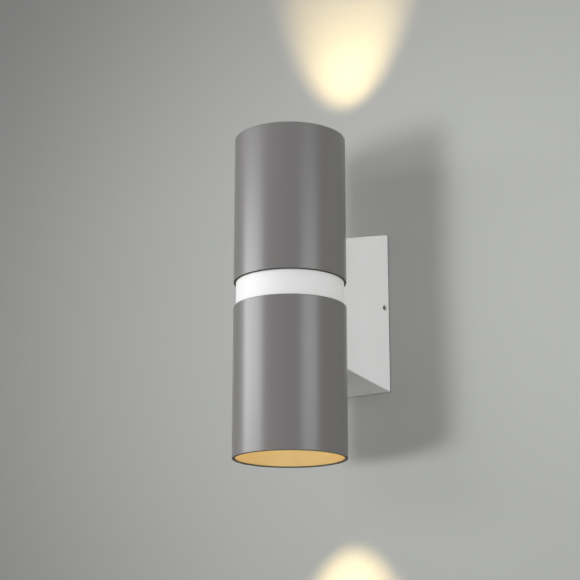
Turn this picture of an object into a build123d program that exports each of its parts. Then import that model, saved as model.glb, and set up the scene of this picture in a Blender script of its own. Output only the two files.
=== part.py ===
from build123d import *
import math
import os

# Up-and-down wall light, in millimetres.
# Z is up, the wall is the plane Y = 0 and the light stands out toward -Y.
# The origin lies on the wall, behind the middle of the collar.

# Twist-lock reflector lamp
LAMP_DIAMETER = 50.0
LAMP_LENGTH = 46.0
LAMP_BASE_DIAMETER = 24.0
LAMP_BASE_LENGTH = 9.0
LAMP_RIM_HEIGHT = 6.0
FLARE_START_SPREAD = 0.8
FLARE_END_SPREAD = 0.25
LENS_BORDER = 1.5
LENS_THICKNESS = 2.5
LENS_RECESS = 0.5
PIN_PITCH = 10.0
PIN_NECK_DIAMETER = 3.0
PIN_HEAD_DIAMETER = 4.8
PIN_HEAD_LENGTH = 4.3
TWIST_ANGLE = 30.0

# Lampholder and its bracket
HOLDER_DIAMETER = 26.0
HOLDER_HEIGHT = 13.0
HOLDER_LIP = 2.0
HOLDER_POCKET_DEPTH = 8.0
HOLDER_CHANNEL_DEPTH = 3.0
HOLDER_CHANNEL_WIDTH = 2.4
HOLDER_CHANNEL_LENGTH = 15.0
HOLDER_SCREW_OFFSET = 9.2
HOLDER_SCREW_SINK = 2.3
CONTACT_THICKNESS = 1.0
BRACKET_THICKNESS = 1.0
BRACKET_RISE = 2.5
BRACKET_WIDTH = 24.0
BRACKET_CUTOUT_DIAMETER = 12.0
BRACKET_FOOT_EDGE = 3.5
BRACKET_SCREW_GAP = 0.75

# Tubes
TUBE_WALL = 2.5
MOUTH_WALL = 1.2
END_WALL = 2.5
LAMP_AIR_GAP = 2.5
TUBE_EDGE_FILLET = 0.3

# Mouth parts, from the lamp face outward
LAMP_SEAT_GAP = 0.3
LAMP_TO_GLASS = 1.1
GLASS_THICKNESS = 3.0
GLASS_SEAL_THICKNESS = 1.0
GLASS_SEAL_WIDTH = 2.0
REFLECTOR_LENGTH = 10.4
REFLECTOR_RECESS = 0.55
REFLECTOR_LIP = 0.75
REFLECTOR_FOOT = 2.35
BAND_WIDTH = 2.0
BAND_DEPTH = 0.9

# Collar between the tubes
COLLAR_HEIGHT = 13.5
COLLAR_STEP = 1.3
COLLAR_BORE_DIAMETER = 12.0
COLLAR_PAD_WIDTH = 30.0
COLLAR_PAD_SETBACK = 0.4
COLLAR_SEAL_INSET = 3.2
COLLAR_SEAL_WIDTH = 2.5
COLLAR_SEAL_THICKNESS = 0.8
COLLAR_TAP_DEPTH = 5.0

# Wall housing
HOUSING_WIDTH = 50.5
HOUSING_HEIGHT = 89.5
HOUSING_TAPER = 15.0
HOUSING_WALL = 2.0
HOUSING_CORNER_FILLET = 0.6
HOUSING_GASKET_THICKNESS = 0.5
HOUSING_REACH_PAST_SADDLE = 9.0
WIRING_DEPTH = 25.5
BOSS_THICKNESS = 3.7
BOSS_WIDTH = 30.0
COLLAR_SCREW_OFFSET = 9.0
COLLAR_SCREW_GRIP = 6.0
WIRE_HOLE_DIAMETER = 8.0

# Set screws in the sides of the housing
SET_SCREW_FROM_WALL = 3.2
SET_SCREW_HEIGHT = 2.0
SET_SCREW_RECESS = 0.7
SET_SCREW_SOCKET = 1.5
SET_SCREW_SOCKET_DEPTH = 1.5
SET_SCREW_BOSS_THICKNESS = 2.2
SET_SCREW_BOSS_HEIGHT = 8.0
SET_SCREW_BOSS_DEPTH = 5.5

# Wall plate
PLATE_THICKNESS = 1.5
PLATE_EDGE_GAP = 2.0
PLATE_CORNER = 4.0
TAB_REACH = 5.5
TAB_HEIGHT = 14.0
SLOT_WIDTH = 4.5
SLOT_LENGTH = 10.0
SLOT_EDGE = 10.75
CABLE_ENTRY_DROP = 13.0
CABLE_BORE_DIAMETER = 8.0
CABLE_SEAT_DIAMETER = 12.0
CABLE_FLANGE_DIAMETER = 15.0
CABLE_FLANGE_THICKNESS = 2.0
EARTH_EDGE = 7.0
EARTH_STUD_DIAMETER = 4.0
EARTH_STUD_LENGTH = 9.0
EARTH_NUT_FLATS = 7.0
EARTH_NUT_THICKNESS = 3.2
EARTH_WASHER_DIAMETER = 9.0
EARTH_WASHER_THICKNESS = 0.8

# Terminal block
TERMINAL_WIDTH = 22.0
TERMINAL_LENGTH = 16.0
TERMINAL_HEIGHT = 12.0
TERMINAL_PITCH = 7.0
TERMINAL_RISE = 8.0
TERMINAL_EDGE_FILLET = 0.5
TERMINAL_SCREW_DIAMETER = 3.2
TERMINAL_SCREW_LENGTH = 4.0
TERMINAL_SCREW_SINK = 1.5
TERMINAL_SCREW_ROW = 8.0
TERMINAL_SLOT_WIDTH = 0.7
TERMINAL_SLOT_DEPTH = 0.6
TERMINAL_ENTRY_DEPTH = 2.0
TERMINAL_SUPPLY_DIAMETER = 3.0
TERMINAL_SUPPLY_DEPTH = 5.0
TERMINAL_FIX_SINK = 2.3
TERMINAL_FIX_GRIP = 2.5

# Leads
LEAD_DIAMETER = 1.6
LEAD_SPACING = 1.9
LEAD_ROW_NEAR = 4.0
LEAD_ROW_FAR = 8.0
LEAD_BEND = 2.4
LEAD_COLLAR_BEND = 3.0
LEAD_HOLDER_BEND = 1.5

# Grommets on the leads
GROMMET_BORE_DIAMETER = 5.0
TUBE_GROMMET_DIAMETER = 10.0
GROMMET_FLANGE = 1.5
GROMMET_FLANGE_THICKNESS = 1.2

# M3 screws
SCREW_DIAMETER = 3.0
SCREW_HEAD_DIAMETER = 5.5
SCREW_HEAD_HEIGHT = 2.0
SCREW_HEAD_FILLET = 0.6
SCREW_CLEARANCE_DIAMETER = 3.4
SCREW_DRIVE_ACROSS = 2.0
SCREW_DRIVE_DEPTH = 1.1

# Fits
FIT = 0.05
RUNNING_GAP = 0.15
MOVING_GAP = 0.3
END_GAP = 0.5

# Sizes that follow from the ones above
tube_bore_r = LAMP_DIAMETER / 2 + LAMP_AIR_GAP
tube_r = tube_bore_r + TUBE_WALL
mouth_r = tube_r - MOUTH_WALL
glass_r = mouth_r - MOVING_GAP
reflector_r = mouth_r - RUNNING_GAP
lens_r = LAMP_DIAMETER / 2 - LENS_BORDER

holder_seat = END_WALL + BRACKET_RISE + BRACKET_THICKNESS
holder_top = holder_seat + HOLDER_HEIGHT
lamp_seat = holder_top + LAMP_SEAT_GAP
lamp_face = lamp_seat + LAMP_LENGTH
lens_seat = lamp_face - LENS_RECESS - LENS_THICKNESS
glass_inner = lamp_face + LAMP_TO_GLASS
glass_outer = glass_inner + GLASS_THICKNESS
glass_shoulder = glass_inner - GLASS_SEAL_THICKNESS
reflector_inner = glass_outer + FIT
reflector_outer = reflector_inner + REFLECTOR_LENGTH
band_low = reflector_inner + (REFLECTOR_LENGTH - BAND_WIDTH) / 2
tube_length = reflector_outer + REFLECTOR_RECESS

pin_head_r = PIN_HEAD_DIAMETER / 2 + MOVING_GAP
pin_neck_r = PIN_NECK_DIAMETER / 2 + MOVING_GAP
pin_neck_length = LAMP_SEAT_GAP + HOLDER_LIP + MOVING_GAP

collar_r = tube_r - COLLAR_STEP
collar_seal_r = collar_r - COLLAR_SEAL_INSET
saddle_r = tube_r + MOVING_GAP
boss_face = HOUSING_GASKET_THICKNESS + WIRING_DEPTH
axis_out = boss_face + BOSS_THICKNESS + saddle_r
saddle_depth = axis_out - saddle_r
boss_height = COLLAR_HEIGHT - 2 * COLLAR_PAD_SETBACK
housing_reach = saddle_depth + HOUSING_REACH_PAST_SADDLE - HOUSING_GASKET_THICKNESS
taper_slope = math.tan(math.radians(HOUSING_TAPER))
wall_across = HOUSING_WALL / math.cos(math.radians(HOUSING_TAPER))

screw_r = SCREW_DIAMETER / 2
tap_r = screw_r + FIT
screw_pass_r = SCREW_CLEARANCE_DIAMETER / 2
screw_sink_r = SCREW_HEAD_DIAMETER / 2 + FIT
tube_screw_r = HOLDER_DIAMETER / 2 + BRACKET_THICKNESS + SCREW_HEAD_DIAMETER / 2 + BRACKET_SCREW_GAP
tube_screw_length = BRACKET_THICKNESS + END_WALL + COLLAR_TAP_DEPTH - END_GAP
tube_screw_points = [(-tube_screw_r, 0), (tube_screw_r, 0)]
holder_screw_points = [(0, -HOLDER_SCREW_OFFSET), (0, HOLDER_SCREW_OFFSET)]
collar_screw_points = [(-COLLAR_SCREW_OFFSET, 0), (COLLAR_SCREW_OFFSET, 0)]
collar_pad_depth = axis_out - math.sqrt(saddle_r**2 - COLLAR_SCREW_OFFSET**2)
collar_screw_length = collar_pad_depth - boss_face + COLLAR_SCREW_GRIP

set_screw_outer = HOUSING_WIDTH / 2 - (SET_SCREW_FROM_WALL - HOUSING_GASKET_THICKNESS) * taper_slope
set_screw_boss_face = set_screw_outer - wall_across - SET_SCREW_BOSS_THICKNESS
tab_outer = set_screw_boss_face - MOVING_GAP
set_screw_length = set_screw_outer - SET_SCREW_RECESS - tab_outer - FIT

plate_width = 2 * tab_outer
plate_height = HOUSING_HEIGHT - 2 * (HOUSING_WALL + PLATE_EDGE_GAP)
slot_spacing = plate_height - 2 * SLOT_EDGE
earth_offset = plate_width / 2 - EARTH_EDGE

terminal_middle = TERMINAL_RISE + TERMINAL_LENGTH / 2
terminal_fix_point = (TERMINAL_PITCH / 2, terminal_middle)
terminal_fix_length = TERMINAL_HEIGHT - TERMINAL_FIX_SINK + TERMINAL_FIX_GRIP

# Each light grows outward from its own face of the collar
UPPER = Plane(origin=(0, -axis_out, COLLAR_HEIGHT / 2), x_dir=(1, 0, 0), z_dir=(0, 0, 1))
LOWER = Plane(origin=(0, -axis_out, -COLLAR_HEIGHT / 2), x_dir=(1, 0, 0), z_dir=(0, 0, -1))

# The flat inside the housing that faces the wall, with x as seen from the wall
BOSS = Plane(origin=(0, -boss_face, 0), x_dir=(-1, 0, 0), z_dir=(0, 1, 0))

# The wall plane at the cable entry and at the earth stud, facing out of the wall
CABLE_ENTRY = Plane(origin=(0, 0, -CABLE_ENTRY_DROP), x_dir=(1, 0, 0), z_dir=(0, -1, 0))
EARTH_POINT = Plane(origin=(earth_offset, 0, -CABLE_ENTRY_DROP), x_dir=(1, 0, 0), z_dir=(0, -1, 0))

# The arcs that the lamp pins travel on, from locked to free
PIN_ARCS = [CenterArc((0, 0), PIN_PITCH / 2, start, TWIST_ANGLE) for start in (0, 180)]


def section(base):
    """Return the plane through a light's axis, with radius along x and height along y."""
    return Plane(origin=base.origin, x_dir=base.x_dir, z_dir=-base.y_dir)


def spin_axis(base):
    """Return the axis that a light's round pieces are turned about."""
    return Axis(base.origin, base.z_dir)


def save(piece, name):
    """Label a finished piece and write it as a STEP file."""
    piece.part.label = name
    export_step(piece.part, f"parts/{name}.step")


def make_ring(base, inner_r, outer_r, low, high):
    """Make a ring about a light's axis, or a disc where the inner radius is zero."""
    with BuildPart() as ring:
        with BuildSketch(base.offset(low)):
            Circle(outer_r)
            if inner_r > 0:
                Circle(inner_r, mode=Mode.SUBTRACT)
        extrude(amount=high - low)
    return ring


def make_grommet(base, body_r, bore_r, flange_r, length, flange_thickness):
    """Make a grommet whose body starts on a plane and whose flange ends it."""
    with BuildPart() as grommet:
        with BuildSketch(base):
            Circle(body_r)
        extrude(amount=length)
        with BuildSketch(base.offset(length)):
            Circle(flange_r)
        extrude(amount=flange_thickness)
        with BuildSketch(base):
            Circle(bore_r)
        extrude(amount=length + flange_thickness, mode=Mode.SUBTRACT)
    return grommet


def make_screws(seat, points, shank_length):
    """Make screws with socket heads that stand on a plane and shanks that run below it."""
    with BuildPart() as screws:
        with BuildSketch(seat):
            with Locations(*points):
                Circle(SCREW_HEAD_DIAMETER / 2)
        extrude(amount=SCREW_HEAD_HEIGHT)
        fillet(screws.edges().group_by(Axis(seat.origin, seat.z_dir))[-1], SCREW_HEAD_FILLET)
        with BuildSketch(seat):
            with Locations(*points):
                Circle(screw_r)
        extrude(amount=-shank_length)
        with BuildSketch(seat.offset(SCREW_HEAD_HEIGHT)):
            with Locations(*points):
                RegularPolygon(SCREW_DRIVE_ACROSS / 2, 6, major_radius=False)
        extrude(amount=-SCREW_DRIVE_DEPTH, mode=Mode.SUBTRACT)
    return screws


def make_tube(base):
    """Make a tube, a cup that is closed at the collar and stepped inside its mouth."""
    with BuildPart() as tube:
        with BuildSketch(section(base)):
            with BuildLine():
                Polyline(
                    (0, 0),
                    (tube_r, 0),
                    (tube_r, tube_length),
                    (mouth_r, tube_length),
                    (mouth_r, glass_shoulder),
                    (tube_bore_r, glass_shoulder),
                    (tube_bore_r, END_WALL),
                    (0, END_WALL),
                    close=True,
                )
            make_face()
        revolve(axis=spin_axis(base))
        rims = tube.edges().filter_by(GeomType.CIRCLE)
        fillet(rims.filter_by(lambda rim: abs(rim.radius - tube_r) < 0.01), TUBE_EDGE_FILLET)
        with BuildSketch(base):
            Circle(TUBE_GROMMET_DIAMETER / 2)
            with Locations(*tube_screw_points):
                Circle(screw_pass_r)
        extrude(amount=END_WALL, mode=Mode.SUBTRACT)
    return tube


def make_holder_bracket(base):
    """Make the bent strip that lifts the lampholder clear of the tube's closed end."""
    foot_top = END_WALL + BRACKET_THICKNESS
    shelf = END_WALL + BRACKET_RISE
    leg_inner = HOLDER_DIAMETER / 2
    leg_outer = leg_inner + BRACKET_THICKNESS
    reach = tube_screw_r + BRACKET_FOOT_EDGE
    with BuildPart() as bracket:
        with BuildSketch(section(base)):
            with BuildLine():
                Polyline(
                    (-reach, END_WALL),
                    (-leg_inner, END_WALL),
                    (-leg_inner, shelf),
                    (leg_inner, shelf),
                    (leg_inner, END_WALL),
                    (reach, END_WALL),
                    (reach, foot_top),
                    (leg_outer, foot_top),
                    (leg_outer, holder_seat),
                    (-leg_outer, holder_seat),
                    (-leg_outer, foot_top),
                    (-reach, foot_top),
                    close=True,
                )
            make_face()
        extrude(amount=BRACKET_WIDTH / 2, both=True)
        with BuildSketch(base.offset(END_WALL)):
            Circle(BRACKET_CUTOUT_DIAMETER / 2)
            with Locations(*tube_screw_points):
                Circle(screw_pass_r)
            with Locations(*holder_screw_points):
                Circle(tap_r)
        extrude(amount=BRACKET_RISE + BRACKET_THICKNESS, mode=Mode.SUBTRACT)
    return bracket


def make_lampholder(base):
    """Make the ceramic holder with its two twist-lock pockets, wire channel and screw holes."""
    entries = [arc @ 1 for arc in PIN_ARCS]
    with BuildPart() as holder:
        with BuildSketch(base.offset(holder_seat)):
            Circle(HOLDER_DIAMETER / 2)
        extrude(amount=HOLDER_HEIGHT)
        with BuildSketch(base.offset(holder_top)):
            for arc in PIN_ARCS:
                SlotArc(arc, 2 * pin_neck_r)
            with Locations(*entries):
                Circle(pin_head_r)
        extrude(amount=-HOLDER_LIP, mode=Mode.SUBTRACT)
        with BuildSketch(base.offset(holder_top - HOLDER_LIP)):
            for arc in PIN_ARCS:
                SlotArc(arc, 2 * pin_head_r)
        extrude(amount=HOLDER_LIP - HOLDER_POCKET_DEPTH, mode=Mode.SUBTRACT)
        with BuildSketch(base.offset(holder_seat)):
            Rectangle(HOLDER_CHANNEL_LENGTH, HOLDER_CHANNEL_WIDTH)
        extrude(amount=HOLDER_CHANNEL_DEPTH, mode=Mode.SUBTRACT)
        with BuildSketch(base.offset(holder_seat)):
            with Locations(*holder_screw_points):
                Circle(screw_pass_r)
        extrude(amount=HOLDER_HEIGHT, mode=Mode.SUBTRACT)
        with BuildSketch(base.offset(holder_top)):
            with Locations(*holder_screw_points):
                Circle(screw_sink_r)
        extrude(amount=-HOLDER_SCREW_SINK, mode=Mode.SUBTRACT)
    return holder


def make_contacts(base):
    """Make the two contact plates on the floors of the lampholder's pockets."""
    with BuildPart() as contacts:
        with BuildSketch(base.offset(holder_top - HOLDER_POCKET_DEPTH)):
            for arc in PIN_ARCS:
                SlotArc(arc, PIN_HEAD_DIAMETER)
        extrude(amount=CONTACT_THICKNESS)
    return contacts


def make_lamp_body(base):
    """Make the lamp's body, a stub that flares to a rim around the lens."""
    rim_r = LAMP_DIAMETER / 2
    base_r = LAMP_BASE_DIAMETER / 2
    flare_start = lamp_seat + LAMP_BASE_LENGTH
    rim_start = lamp_face - LAMP_RIM_HEIGHT
    with BuildPart() as body:
        with BuildSketch(section(base)):
            with BuildLine():
                Polyline((0, lens_seat), (0, lamp_seat), (base_r, lamp_seat), (base_r, flare_start))
                flare = Spline(
                    (base_r, flare_start),
                    (rim_r, rim_start),
                    tangents=[(FLARE_START_SPREAD, 1), (FLARE_END_SPREAD, 1)],
                )
                Polyline(
                    flare @ 1,
                    (rim_r, lamp_face),
                    (lens_r, lamp_face),
                    (lens_r, lens_seat),
                    (0, lens_seat),
                )
            make_face()
        revolve(axis=spin_axis(base))
    return body


def make_lamp_pins(base):
    """Make the two lamp pins, each a neck with a wider head held below the holder's lip."""
    points = [arc @ 0 for arc in PIN_ARCS]
    with BuildPart() as pins:
        with BuildSketch(base.offset(lamp_seat)):
            with Locations(*points):
                Circle(PIN_NECK_DIAMETER / 2)
        extrude(amount=-pin_neck_length)
        with BuildSketch(base.offset(lamp_seat - pin_neck_length)):
            with Locations(*points):
                Circle(PIN_HEAD_DIAMETER / 2)
        extrude(amount=-PIN_HEAD_LENGTH)
    return pins


def make_reflector(base):
    """Make the mouth ring, narrowing inward from its lip, with a groove for its band."""
    band_r = reflector_r - BAND_DEPTH
    with BuildPart() as reflector:
        with BuildSketch(section(base)):
            with BuildLine():
                Polyline(
                    (reflector_r - REFLECTOR_FOOT, reflector_inner),
                    (reflector_r, reflector_inner),
                    (reflector_r, band_low),
                    (band_r, band_low),
                    (band_r, band_low + BAND_WIDTH),
                    (reflector_r, band_low + BAND_WIDTH),
                    (reflector_r, reflector_outer),
                    (reflector_r - REFLECTOR_LIP, reflector_outer),
                    close=True,
                )
            make_face()
        revolve(axis=spin_axis(base))
    return reflector


def make_leads(way, row):
    """Make a lamp's two leads from the terminal block, through the collar, to its holder."""
    step = LEAD_SPACING / 2
    start = TERMINAL_RISE + TERMINAL_ENTRY_DEPTH - FIT
    rise = COLLAR_HEIGHT / 2 + holder_seat + HOLDER_CHANNEL_DEPTH / 2
    end = HOLDER_CHANNEL_LENGTH / 2 - FIT
    bends = [LEAD_BEND, LEAD_BEND, LEAD_COLLAR_BEND, LEAD_HOLDER_BEND]
    with BuildPart() as leads:
        for side in (-1, 1):
            with BuildLine() as route:
                FilletPolyline(
                    (side * TERMINAL_PITCH, -row, start),
                    (side * TERMINAL_PITCH, -row, way * step),
                    (side * step, -row, way * step),
                    (side * step, -axis_out, way * step),
                    (side * step, -axis_out, way * rise),
                    (side * end, -axis_out, way * rise),
                    radius=bends,
                )
            with BuildSketch(Plane(origin=route.line @ 0, z_dir=route.line % 0)):
                Circle(LEAD_DIAMETER / 2)
            sweep(path=route.line)
    return leads


os.makedirs("parts", exist_ok=True)

# Wall plate with its slots, cable hole and the two tabs that the set screws bear on
with BuildPart() as wall_plate:
    with BuildSketch(Plane.XZ):
        RectangleRounded(plate_width, plate_height, PLATE_CORNER)
        with GridLocations(0, slot_spacing, 1, 2):
            SlotOverall(SLOT_LENGTH, SLOT_WIDTH, rotation=90, mode=Mode.SUBTRACT)
    extrude(amount=PLATE_THICKNESS)
    with BuildSketch(CABLE_ENTRY):
        Circle(CABLE_SEAT_DIAMETER / 2)
    extrude(amount=PLATE_THICKNESS, mode=Mode.SUBTRACT)
    with BuildSketch(EARTH_POINT):
        Circle(EARTH_STUD_DIAMETER / 2)
    extrude(amount=PLATE_THICKNESS, mode=Mode.SUBTRACT)
    with BuildSketch(Plane.XZ.offset(PLATE_THICKNESS)):
        with Locations((0, SET_SCREW_HEIGHT)):
            Rectangle(plate_width, TAB_HEIGHT)
            Rectangle(plate_width - 2 * PLATE_THICKNESS, TAB_HEIGHT, mode=Mode.SUBTRACT)
    extrude(amount=TAB_REACH)
save(wall_plate, "wall_plate")

# Grommet that the supply cable comes through
cable_grommet = make_grommet(
    CABLE_ENTRY,
    CABLE_SEAT_DIAMETER / 2,
    CABLE_BORE_DIAMETER / 2,
    CABLE_FLANGE_DIAMETER / 2,
    PLATE_THICKNESS,
    CABLE_FLANGE_THICKNESS,
)
save(cable_grommet, "cable_grommet")

# Earth stud pressed into the plate, with its washer and nut
earth_stud_r = EARTH_STUD_DIAMETER / 2
earth_nut_seat = PLATE_THICKNESS + EARTH_WASHER_THICKNESS
earth_stud = make_ring(EARTH_POINT, 0, earth_stud_r, 0, EARTH_STUD_LENGTH)
save(earth_stud, "earth_stud")
earth_washer = make_ring(
    EARTH_POINT, earth_stud_r + FIT, EARTH_WASHER_DIAMETER / 2, PLATE_THICKNESS, earth_nut_seat
)
save(earth_washer, "earth_washer")
with BuildPart() as earth_nut:
    with BuildSketch(EARTH_POINT.offset(earth_nut_seat)):
        RegularPolygon(EARTH_NUT_FLATS / 2, 6, major_radius=False)
        Circle(earth_stud_r + FIT, mode=Mode.SUBTRACT)
    extrude(amount=EARTH_NUT_THICKNESS)
save(earth_nut, "earth_nut")

# Hollow of the housing, less the saddle wall and the bosses that stand in it
with BuildPart() as hollow:
    with BuildSketch(Plane.XZ.offset(HOUSING_GASKET_THICKNESS)):
        Rectangle(HOUSING_WIDTH - 2 * wall_across, HOUSING_HEIGHT - 2 * wall_across)
    extrude(amount=housing_reach, taper=HOUSING_TAPER)
    with BuildSketch(Plane.XY.offset(-HOUSING_HEIGHT / 2)):
        with Locations((0, -axis_out)):
            Circle(saddle_r + HOUSING_WALL)
    extrude(amount=HOUSING_HEIGHT, mode=Mode.SUBTRACT)
    with BuildSketch(Plane.XZ.offset(boss_face)):
        Rectangle(BOSS_WIDTH, boss_height)
        with Locations((0, terminal_middle)):
            Rectangle(TERMINAL_WIDTH, TERMINAL_LENGTH)
    extrude(amount=housing_reach, mode=Mode.SUBTRACT)
    with BuildSketch(Plane.XZ.offset(HOUSING_GASKET_THICKNESS)):
        with Locations((0, SET_SCREW_HEIGHT)):
            Rectangle(HOUSING_WIDTH, SET_SCREW_BOSS_HEIGHT)
            Rectangle(2 * set_screw_boss_face, SET_SCREW_BOSS_HEIGHT, mode=Mode.SUBTRACT)
    extrude(amount=SET_SCREW_BOSS_DEPTH, mode=Mode.SUBTRACT)

# Tapered housing with its saddle front
with BuildPart() as housing:
    with BuildSketch(Plane.XZ.offset(HOUSING_GASKET_THICKNESS)):
        Rectangle(HOUSING_WIDTH, HOUSING_HEIGHT)
    extrude(amount=housing_reach, taper=HOUSING_TAPER)
    corners = housing.edges().filter_by(lambda edge: abs((edge @ 1 - edge @ 0).Y) > 1)
    fillet(corners, HOUSING_CORNER_FILLET)
    add(hollow.part, mode=Mode.SUBTRACT)
    with BuildSketch(Plane.XY.offset(-HOUSING_HEIGHT / 2)):
        with Locations((0, -axis_out)):
            Circle(saddle_r)
    extrude(amount=HOUSING_HEIGHT, mode=Mode.SUBTRACT)
    with BuildSketch(BOSS):
        Circle(WIRE_HOLE_DIAMETER / 2)
        with Locations(*collar_screw_points):
            Circle(screw_pass_r)
    extrude(amount=-housing_reach, mode=Mode.SUBTRACT)
    with BuildSketch(BOSS):
        with Locations(terminal_fix_point):
            Circle(tap_r)
    extrude(amount=-(TERMINAL_FIX_GRIP + FIT), mode=Mode.SUBTRACT)
    with BuildSketch(Plane.YZ):
        with Locations((-SET_SCREW_FROM_WALL, SET_SCREW_HEIGHT)):
            Circle(tap_r)
    extrude(amount=HOUSING_WIDTH / 2, both=True, mode=Mode.SUBTRACT)
save(housing, "housing")

# Gasket that seals the housing's rim to the wall
with BuildPart() as housing_gasket:
    with BuildSketch(Plane.XZ):
        Rectangle(HOUSING_WIDTH, HOUSING_HEIGHT)
        Rectangle(HOUSING_WIDTH - 2 * wall_across, HOUSING_HEIGHT - 2 * wall_across, mode=Mode.SUBTRACT)
    extrude(amount=HOUSING_GASKET_THICKNESS)
save(housing_gasket, "housing_gasket")

# Set screws, one in each side of the housing
with BuildPart() as set_screws:
    for side in (-1, 1):
        with BuildSketch(Plane.YZ.offset(side * (tab_outer + FIT))):
            with Locations((-SET_SCREW_FROM_WALL, SET_SCREW_HEIGHT)):
                Circle(screw_r)
        extrude(amount=side * set_screw_length)
        with BuildSketch(Plane.YZ.offset(side * (set_screw_outer - SET_SCREW_RECESS))):
            with Locations((-SET_SCREW_FROM_WALL, SET_SCREW_HEIGHT)):
                RegularPolygon(SET_SCREW_SOCKET / 2, 6, major_radius=False)
        extrude(amount=-side * SET_SCREW_SOCKET_DEPTH, mode=Mode.SUBTRACT)
save(set_screws, "set_screws")

# Collar with its pad against the housing, wire ways, seal grooves and tapped holes
with BuildPart() as collar:
    with BuildSketch(Plane.XY.offset(-COLLAR_HEIGHT / 2)):
        with Locations((0, -axis_out)):
            Circle(collar_r)
    extrude(amount=COLLAR_HEIGHT)
    with BuildSketch(Plane.XY.offset(-boss_height / 2)):
        with Locations((0, -axis_out)):
            Circle(saddle_r - FIT)
        with Locations((0, -axis_out + saddle_r / 2)):
            Rectangle(COLLAR_PAD_WIDTH, saddle_r, mode=Mode.INTERSECT)
    extrude(amount=boss_height)
    with BuildSketch(UPPER):
        Circle(COLLAR_BORE_DIAMETER / 2)
    extrude(amount=-COLLAR_HEIGHT, mode=Mode.SUBTRACT)
    with BuildSketch(Plane.XZ.offset(axis_out)):
        Circle(WIRE_HOLE_DIAMETER / 2)
    extrude(amount=-saddle_r, mode=Mode.SUBTRACT)
    with BuildSketch(BOSS):
        with Locations(*collar_screw_points):
            Circle(tap_r)
    extrude(amount=-(collar_screw_length + END_GAP), mode=Mode.SUBTRACT)
    for face in (UPPER, LOWER):
        with BuildSketch(face):
            with Locations(*tube_screw_points):
                Circle(tap_r)
        extrude(amount=-COLLAR_TAP_DEPTH, mode=Mode.SUBTRACT)
        with BuildSketch(face):
            Circle(collar_seal_r)
            Circle(collar_seal_r - COLLAR_SEAL_WIDTH, mode=Mode.SUBTRACT)
        extrude(amount=-COLLAR_SEAL_THICKNESS, mode=Mode.SUBTRACT)
save(collar, "collar")

# Screws that pull the collar onto the housing, and the grommet between them
collar_screws = make_screws(BOSS, collar_screw_points, collar_screw_length)
save(collar_screws, "collar_screws")
wire_grommet = make_grommet(
    BOSS.offset(MOVING_GAP - BOSS_THICKNESS),
    WIRE_HOLE_DIAMETER / 2,
    GROMMET_BORE_DIAMETER / 2,
    WIRE_HOLE_DIAMETER / 2 + GROMMET_FLANGE,
    BOSS_THICKNESS - MOVING_GAP,
    GROMMET_FLANGE_THICKNESS,
)
save(wire_grommet, "wire_grommet")

# Terminal block on its boss, with clamp screws that face the wall
terminal_clamps = [
    (pole * TERMINAL_PITCH, terminal_middle + row * TERMINAL_SCREW_ROW / 2)
    for pole in (-1, 0, 1)
    for row in (-1, 1)
]
with BuildPart() as terminal_block:
    with BuildSketch(BOSS):
        with Locations((0, terminal_middle)):
            Rectangle(TERMINAL_WIDTH, TERMINAL_LENGTH)
    extrude(amount=TERMINAL_HEIGHT)
    fillet(terminal_block.edges().group_by(Axis.Y)[-1], TERMINAL_EDGE_FILLET)
    with BuildSketch(BOSS.offset(TERMINAL_HEIGHT)):
        with Locations(*terminal_clamps):
            Circle(TERMINAL_SCREW_DIAMETER / 2 + FIT)
    extrude(amount=-(TERMINAL_SCREW_SINK + TERMINAL_SCREW_LENGTH), mode=Mode.SUBTRACT)
    with BuildSketch(Plane.XY.offset(TERMINAL_RISE)):
        for row in (LEAD_ROW_NEAR, LEAD_ROW_FAR):
            with Locations((-TERMINAL_PITCH, row - boss_face), (TERMINAL_PITCH, row - boss_face)):
                Circle(LEAD_DIAMETER / 2 + FIT)
    extrude(amount=TERMINAL_ENTRY_DEPTH, mode=Mode.SUBTRACT)
    with BuildSketch(Plane.XY.offset(TERMINAL_RISE + TERMINAL_LENGTH)):
        for pole in (-1, 0, 1):
            with Locations((pole * TERMINAL_PITCH, TERMINAL_HEIGHT / 2 - boss_face)):
                Circle(TERMINAL_SUPPLY_DIAMETER / 2)
    extrude(amount=-TERMINAL_SUPPLY_DEPTH, mode=Mode.SUBTRACT)
    with BuildSketch(BOSS):
        with Locations(terminal_fix_point):
            Circle(screw_pass_r)
    extrude(amount=TERMINAL_HEIGHT, mode=Mode.SUBTRACT)
    with BuildSketch(BOSS.offset(TERMINAL_HEIGHT)):
        with Locations(terminal_fix_point):
            Circle(screw_sink_r)
    extrude(amount=-TERMINAL_FIX_SINK, mode=Mode.SUBTRACT)
save(terminal_block, "terminal_block")
with BuildPart() as terminal_screws:
    with BuildSketch(BOSS.offset(TERMINAL_HEIGHT - TERMINAL_SCREW_SINK)):
        with Locations(*terminal_clamps):
            Circle(TERMINAL_SCREW_DIAMETER / 2)
    extrude(amount=-TERMINAL_SCREW_LENGTH)
    with BuildSketch(BOSS.offset(TERMINAL_HEIGHT - TERMINAL_SCREW_SINK)):
        with Locations(*terminal_clamps):
            Rectangle(TERMINAL_SCREW_DIAMETER, TERMINAL_SLOT_WIDTH)
    extrude(amount=-TERMINAL_SLOT_DEPTH, mode=Mode.SUBTRACT)
save(terminal_screws, "terminal_screws")
terminal_fixing_screw = make_screws(
    BOSS.offset(TERMINAL_HEIGHT - TERMINAL_FIX_SINK), [terminal_fix_point], terminal_fix_length
)
save(terminal_fixing_screw, "terminal_fixing_screw")

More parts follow.
